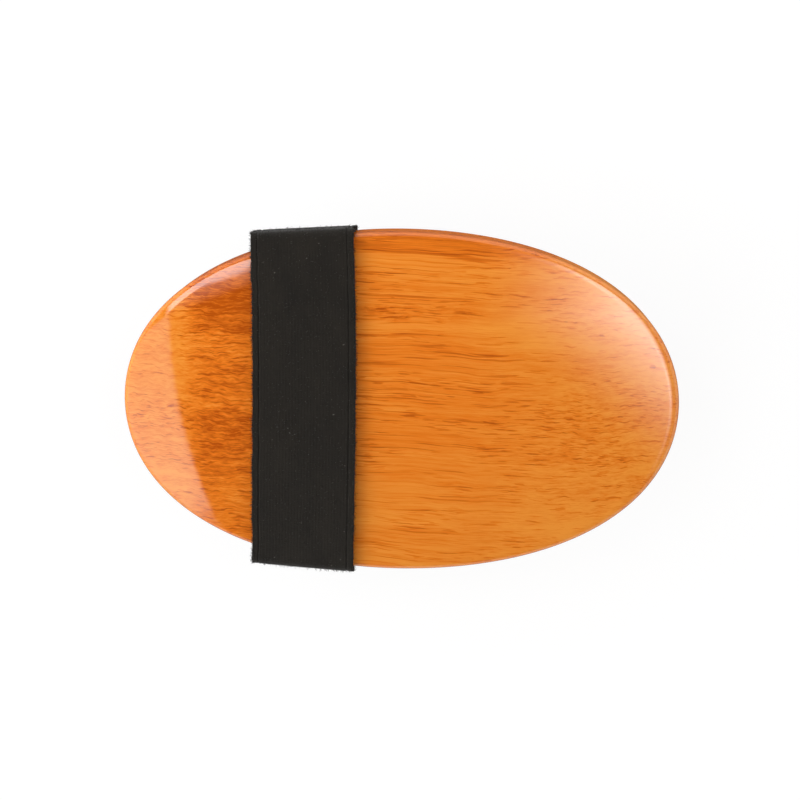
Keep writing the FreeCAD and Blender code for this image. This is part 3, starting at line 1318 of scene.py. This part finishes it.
@dataclass
class TuftRow:
    """One row of boar tufts and the nylon quills through them."""

    row: int
    plan: TuftPlan
    underside_z: float
    hairs: int = 110
    hair_radius: float = 0.11
    root_radius: float = 1.36
    tip_radius: float = 2.25
    tip_waver: float = 0.45
    tip_rise: float = 0.25
    tip_scatter: float = 0.16
    quill_gap: float = 0.05
    bow: float = 0.12
    spread_power: float = 0.8
    levels: tuple[float, ...] = (0.0, 0.06, 0.35, 0.70, 1.0)
    taper: tuple[float, ...] = (0.30, 0.72, 0.95, 1.0, 1.0, 1.0)
    thickness_spread: tuple[float, float] = (0.8, 1.1)
    hair_sides: int = 4
    sharp_degrees: float = 95.0
    seed: int = 100
    hole_depth: float = 6.9
    quill_taper: float = 0.04
    quill_sides: int = 20
    tip_turns: tuple[float, float, int] = (0.12, math.pi / 2, 6)

    def build_tufts(self) -> Piece:
        """Make the row's boar hairs in place of its node.

        Returns:
            The hairs, riding on the block's body.
        """
        name = f"boar_tufts_row_{self.row}"
        low, _ = box_mm(name)
        draw = np.random.default_rng(self.seed + self.row)
        places = np.repeat(self.plan.row_places(self.row), self.hairs, axis=0)
        count = len(places)
        quill_low, quill_high = box_mm(f"nylon_quills_row_{self.row}")
        inside = (quill_high[1] - quill_low[1]) / 2 + self.hair_radius
        spread = np.sqrt(draw.uniform((inside / self.root_radius) ** 2, 1, count))
        turn = draw.uniform(0, 2 * math.pi, count)
        direction = np.stack([np.cos(turn), np.sin(turn)], axis=-1)
        root_reach = self.root_radius * spread
        scatter = draw.normal(0, self.tip_scatter, count)
        tip_reach = np.maximum(self.tip_radius * spread + scatter, inside + self.quill_gap)
        tip_z = low[2] + self.tip_rise + draw.normal(0, self.tip_waver, count)
        twist = draw.normal(0, self.bow, (count, 2))
        top_z = self.underside_z + self.hole_depth
        centres = np.zeros((count, len(self.levels) + 1, 3))
        for ring, level in enumerate(self.levels):
            reach = tip_reach + (root_reach - tip_reach) * level**self.spread_power
            bow = twist * math.sin(math.pi * level)
            centres[:, ring, :2] = places + direction * reach[:, None] + bow
            centres[:, ring, 2] = tip_z + (self.underside_z - tip_z) * level
        centres[:, -1, :2] = centres[:, -2, :2]
        centres[:, -1, 2] = top_z
        radii = np.tile(self.hair_radius * np.array(self.taper), (count, 1))
        radii *= draw.uniform(*self.thickness_spread, count)[:, None]
        points, faces = upright_rods(centres, radii, self.hair_sides)
        tufts = mesh_piece(f"boar_hairs_{self.row}", points, faces, self.sharp_degrees)
        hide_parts(name)
        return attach(tufts, Body.BLOCK.value)

    def build_quills(self) -> Piece:
        """Make the row's nylon quills in place of their node.

        Returns:
            The quills, riding on the block's body.
        """
        name = f"nylon_quills_row_{self.row}"
        low, high = box_mm(name)
        radius = (high[1] - low[1]) / 2
        places = self.plan.row_places(self.row)
        tip = radius - self.quill_taper
        turns = np.linspace(*self.tip_turns)
        profile = [(low[2] + tip * (1 - math.cos(turn)), tip * math.sin(turn)) for turn in turns]
        profile.append((self.underside_z / 2, radius - self.quill_taper / 2))
        profile += [(self.underside_z, radius), (high[2], radius)]
        centres = np.zeros((len(places), len(profile), 3))
        centres[:, :, :2] = places[:, None, :]
        centres[:, :, 2] = [z for z, _ in profile]
        radii = np.tile([reach for _, reach in profile], (len(places), 1))
        quills = mesh_piece(f"quills_{self.row}", *upright_rods(centres, radii, self.quill_sides))
        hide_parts(name)
        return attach(quills, Body.BLOCK.value)


@dataclass
class WireFittings:
    """Staples that hold the strap and the flat wires that anchor the tufts, as packed."""

    rows: int

    def staples(self) -> list[Piece]:
        """The two pairs of staples."""
        return [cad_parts[f"staples_{side.name.lower()}"] for side in Side]

    def anchors(self) -> list[Piece]:
        """The anchor wires of every row."""
        return [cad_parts[f"anchor_wires_row_{row}"] for row in range(1, self.rows + 1)]


# ---------------------------------------------------------------------------------------------
# Studio
# ---------------------------------------------------------------------------------------------


@dataclass(frozen=True)
class Viewpoint:
    """Camera above the brush, a little towards its back, in millimetres and degrees."""

    place: tuple[float, float, float] = (12.0, 75.0, 484.0)
    aim: tuple[float, float, float] = (-0.15, 0.78, 34.0)
    sensor_mm: float = 36.0
    view_degrees: float = 23.14
    roll_degrees: float = 0.73

    def build(self) -> Piece:
        """Create the scene's camera.

        Returns:
            The camera.
        """
        data = bpy.data.cameras.new("studio_camera")
        data.sensor_width = self.sensor_mm
        data.angle = math.radians(self.view_degrees)
        camera = bpy.data.objects.new("studio_camera", data)
        bpy.context.scene.collection.objects.link(camera)
        place, aim = Vector(self.place) * MM, Vector(self.aim) * MM
        back = (place - aim).normalized()
        right = Vector((0, 1, 0)).cross(back).normalized()
        up = back.cross(right)
        roll = Matrix.Rotation(math.radians(self.roll_degrees), 3, "Z")
        turned = Matrix((right, up, back)).transposed() @ roll
        camera.matrix_world = Matrix.Translation(place) @ turned.to_4x4()
        bpy.context.scene.camera = camera
        return camera


@dataclass(frozen=True)
class StudioSky:
    """White backdrop with low windows round the horizon, and softboxes placed by their slopes.

    A slope is how far a direction leans along X or Y for each unit that it rises. Heights are the Z of the
    direction, from 0 at the horizon to 1 overhead.
    """

    fill: float = 0.08
    low_top: Edge = (0.40, 0.56)
    low_foot: Edge = (0.04, 0.16)
    foot_share: float = 0.35
    window_turn: Edge = (0.35, 0.80)
    low_light: float = 1.4
    low_left: float = 5.2
    low_right: float = 2.4
    low_back: float = 2.2
    low_front: float = 0.8
    soft_share: float = 0.40

    side_light: tuple[float, float] = (1.6, 2.6)
    side_light_slope: Edge = (-0.50, 0.05)
    side_edge: float = -0.41825
    side_edge_lean: float = -0.055
    side_edge_blur: Edge = (-0.006, 0.006)
    side_turn: tuple[Edge, Edge] = ((-0.36, -0.24), (1.4, 2.0))
    side_foot: Edge = (0.28, 0.34)
    side_dim: Edge = (0.42, 0.62)
    side_dim_share: float = 0.3

    strip_light: float = 6.2
    strip_lean: float = 0.78
    strip_soft_edge: Stretch = (0.45, 0.50, 0.0, 0.15)
    strip_hard_edge: Stretch = (0.505, 0.535, 0.0, 0.85)
    strip_far_edge: Edge = (1.00, 1.15)
    strip_ends: tuple[Edge, Edge] = ((-0.33, -0.27), (0.12, 0.22))

    glow: float = 7.2
    glow_heading: tuple[float, float] = (0.884, 0.468)
    glow_side_limit: float = 0.15
    glow_start: float = 0.14
    glow_run: float = 0.24
    glow_power: float = 2.5
    glow_foot: Edge = (0.30, 0.36)
    glow_fade_x: Stretch = (0.44, 0.62, 1.0, 0.05)
    glow_fade_y: Stretch = (0.35, 0.70, 1.0, 0.06)

    def build(self) -> bpy.types.World:
        """Build the world's nodes.

        Returns:
            The world.
        """
        world = bpy.data.worlds.new("studio_sky")
        world.use_nodes = True
        world.node_tree.nodes.clear()
        bench = NodeBench(world.node_tree)
        place = bench.tree.nodes.new("ShaderNodeTexCoord")
        x, y, z = bench.axes(place.outputs["Generated"])
        rise = bench.maths("MAXIMUM", z, TINY)
        slopes = bench.maths("DIVIDE", x, rise), bench.maths("DIVIDE", y, rise)
        seen = bench.rays("Is Glossy Ray", "Is Transmission Ray")

        lamps = bench.total(self.side_panel(bench, *slopes, z), self.strip(bench, *slopes))
        lamps = bench.total(lamps, self.right_glow(bench, *slopes, z))
        softened = bench.maths("MULTIPLY_ADD", seen, 1.0 - self.soft_share, self.soft_share)
        lamps = bench.product(lamps, softened)
        low = bench.towards_one(self.low_windows(bench, x, y, z), seen)
        low = bench.product(bench.maths("SUBTRACT", low, self.fill), bench.band(z, *self.low_top, 1.0, 0.0))
        lit = bench.total(lamps, bench.total(low, self.fill))
        light = bench.tree.nodes.new("ShaderNodeBackground")
        light.inputs["Color"].default_value = (1.0, 1.0, 1.0, 1.0)
        bench.join(bench.towards_one(lit, bench.rays("Is Camera Ray")), light.inputs["Strength"])
        output = bench.tree.nodes.new("ShaderNodeOutputWorld")
        bench.join(light.outputs[0], output.inputs["Surface"])
        bpy.context.scene.world = world
        return world

    def low_windows(self, bench: NodeBench, x: Output, y: Output, z: Output) -> Output:
        """Light from just above the floor, strongest at the left, weakest at the front.

        Args:
            bench: Node tree being built.
            x: Output that gives the direction's X.
            y: Output that gives its Y.
            z: Output that gives its Z.

        Returns:
            Output that gives the light.
        """
        level = bench.maths("MAXIMUM", bench.distance(x, y), TINY)
        light: Value = self.low_light
        ends = ((x, -1.0, self.low_left), (x, 1.0, self.low_right))
        sides = ((y, 1.0, self.low_back), (y, -1.0, self.low_front))
        for axis, sign, window in ends + sides:
            towards = bench.product(bench.maths("DIVIDE", axis, level), sign)
            light = bench.total(light, bench.band(towards, *self.window_turn, 0.0, window - self.low_light))
        return bench.product(light, bench.band(z, *self.low_foot, self.foot_share, 1.0))

    def side_panel(self, bench: NodeBench, slope_x: Output, slope_y: Output, z: Output) -> Output:
        """Tall panel on the left with a straight upper edge, brighter to the front and dimmer low down.

        Args:
            bench: Node tree being built.
            slope_x: Output that gives the direction's slope along X.
            slope_y: Output that gives its slope along Y.
            z: Output that gives its Z.

        Returns:
            Output that gives the light.
        """
        edge = bench.maths("MULTIPLY_ADD", slope_y, self.side_edge_lean, self.side_edge)
        inside = bench.band(bench.maths("SUBTRACT", slope_x, edge), *self.side_edge_blur, 1.0, 0.0)
        turn = bench.maths("DIVIDE", slope_y, slope_x)
        start, end = self.side_turn
        wedge = bench.product(bench.band(turn, *start), bench.band(turn, *end, 1.0, 0.0))
        dim = bench.band(z, *self.side_dim, self.side_dim_share, 1.0)
        low = bench.product(bench.band(z, *self.side_foot), dim)
        level = bench.band(slope_y, *self.side_light_slope, *reversed(self.side_light))
        return bench.product(inside, wedge, low, level)

    def strip(self, bench: NodeBench, slope_x: Output, slope_y: Output) -> Output:
        """Narrow bright strip at the back left, with its edge at a slant.

        Args:
            bench: Node tree being built.
            slope_x: Output that gives the direction's slope along X.
            slope_y: Output that gives its slope along Y.

        Returns:
            Output that gives the light.
        """
        out = bench.maths("SUBTRACT", slope_y, bench.product(slope_x, self.strip_lean))
        along = bench.total(slope_y, slope_x)
        core = bench.total(bench.band(out, *self.strip_soft_edge), bench.band(out, *self.strip_hard_edge))
        inside = bench.product(core, bench.band(out, *self.strip_far_edge, 1.0, 0.0))
        start, end = self.strip_ends
        ends = bench.product(bench.band(along, *start), bench.band(along, *end, 1.0, 0.0))
        return bench.product(inside, ends, self.strip_light)

    def right_glow(self, bench: NodeBench, slope_x: Output, slope_y: Output, z: Output) -> Output:
        """Large diffuse source at the right, which fades towards the middle and the front.

        Args:
            bench: Node tree being built.
            slope_x: Output that gives the direction's slope along X.
            slope_y: Output that gives its slope along Y.
            z: Output that gives its Z.

        Returns:
            Output that gives the light.
        """
        heading_x, heading_y = self.glow_heading
        side = bench.maths("MINIMUM", slope_y, self.glow_side_limit)
        reach = bench.maths("MULTIPLY_ADD", side, heading_y, bench.product(slope_x, heading_x))
        past = bench.maths("SUBTRACT", reach, self.glow_start)
        share = bench.maths("MULTIPLY", past, 1 / self.glow_run, clamp=True)
        rise = bench.maths("POWER", share, self.glow_power)
        fades = bench.product(bench.band(slope_x, *self.glow_fade_x), bench.band(slope_y, *self.glow_fade_y))
        return bench.product(rise, bench.band(z, *self.glow_foot), self.glow, fades)


@dataclass(frozen=True)
class PaleFloor:
    """Pale floor, white to the camera, that keeps the brush's shadow and is clear from below."""

    reach: float = 3000.0
    drop: float = 0.05
    grey: float = 0.16
    glow: float = 0.87
    shade: float = 0.03
    shade_reach: Edge = (75.0, 170.0)
    shade_narrowing: float = 1.5

    def build(self) -> Piece:
        """Build the floor.

        Returns:
            The floor.
        """
        signs = ((-1, -1), (1, -1), (1, 1), (-1, 1))
        corners = np.array([[x * self.reach, y * self.reach, -self.drop] for x, y in signs])
        floor = mesh_piece("studio_floor", corners, [[0, 1, 2, 3]])
        material = bpy.data.materials.new("studio_floor")
        material.use_nodes = True
        material.node_tree.nodes.clear()
        bench = NodeBench(material.node_tree)
        matt = bench.tree.nodes.new("ShaderNodeBsdfDiffuse")
        matt.inputs["Color"].default_value = (self.grey, self.grey, self.grey, 1.0)
        glow = bench.tree.nodes.new("ShaderNodeEmission")
        bench.join(self.brightness(bench), glow.inputs["Strength"])
        both = bench.tree.nodes.new("ShaderNodeAddShader")
        bench.join(matt.outputs[0], both.inputs[0])
        bench.join(glow.outputs[0], both.inputs[1])
        clear = bench.tree.nodes.new("ShaderNodeBsdfTransparent")
        sides = bench.tree.nodes.new("ShaderNodeNewGeometry")
        one_sided = bench.tree.nodes.new("ShaderNodeMixShader")
        sources = (sides.outputs["Backfacing"], both.outputs[0], clear.outputs[0])
        for source, target in zip(sources, one_sided.inputs):
            bench.join(source, target)
        output = bench.tree.nodes.new("ShaderNodeOutputMaterial")
        bench.join(one_sided.outputs[0], output.inputs["Surface"])
        floor.data.materials.append(material)
        return floor

    def brightness(self, bench: NodeBench) -> Output:
        """White to the camera, and to glossy and transmission rays away from the brush's own shade.

        Args:
            bench: Node tree being built.

        Returns:
            Output that gives the floor's own light.
        """
        place = bench.tree.nodes.new("ShaderNodeTexCoord")
        scale = (1 / MM, self.shade_narrowing / MM, 1 / MM)
        x, y, _ = bench.axes(bench.scaled(place.outputs["Object"], scale))
        shaded = bench.band(bench.distance(x, y), *self.shade_reach, self.shade, 1.0)
        mirrored = bench.product(bench.rays("Is Glossy Ray", "Is Transmission Ray"), shaded)
        return bench.product(bench.maths("MAXIMUM", bench.rays("Is Camera Ray"), mirrored), self.glow)


@dataclass
class Studio:
    """Camera, pale floor, backdrop and soft light."""

    viewpoint: Viewpoint
    sky: StudioSky
    ground: PaleFloor

    def build(self) -> None:
        """Build the whole studio, camera first."""
        self.viewpoint.build()
        bpy.context.scene.view_settings.view_transform = "Standard"
        self.ground.build()
        self.sky.build()


def report(*pieces: Piece) -> None:
    """Log the name and the number of faces of each piece."""
    for piece in pieces:
        log.info("%s: %d faces", piece.name, len(piece.data.polygons))


def main() -> None:
    """Build every piece of the brush, dress it and report it."""
    logging.basicConfig(level=logging.INFO, format="%(name)s: %(message)s")
    Studio(Viewpoint(), StudioSky(), PaleFloor()).build()

    body_low, body_high = box_mm("bamboo_body")
    underside_z = float(body_low[2])
    edge_thickness, crown = BambooBlock.edge_thickness, DomedOval.crown
    oval = DomedOval(float(body_high[0]), float(body_high[1]), underside_z + edge_thickness + crown)
    plan = TuftPlan()

    block = BambooBlock(oval, plan, underside_z).build()
    dress(block, LacqueredBamboo().material())
    report(block)

    webbing = ElasticWebbing().material()
    strap_maker = HandStrap(oval, underside_z)
    for piece in (strap_maker.build(), StrapNap(strap_maker).build()):
        dress(piece, webbing)
        report(piece)

    hair, nylon = BoarHair().material(), QuillNylon().material()
    for row in range(1, plan.rows + 1):
        tuft_row = TuftRow(row, plan, underside_z)
        tufts, quills = tuft_row.build_tufts(), tuft_row.build_quills()
        dress(tufts, hair)
        dress(quills, nylon)
        report(tufts, quills)

    fittings = WireFittings(plan.rows)
    staple_wire = DrawnWire("staple_wire_finish").material()
    for staple in fittings.staples():
        dress(staple, staple_wire)
        log.info("%s: kept from the packed model", staple.name)
    anchor_wire = DrawnWire("anchor_wire_finish", roughness=0.4).material()
    for anchor in fittings.anchors():
        dress(anchor, anchor_wire)
        log.info("%s: kept from the packed model", anchor.name)


if __name__ == "__main__":
    main()
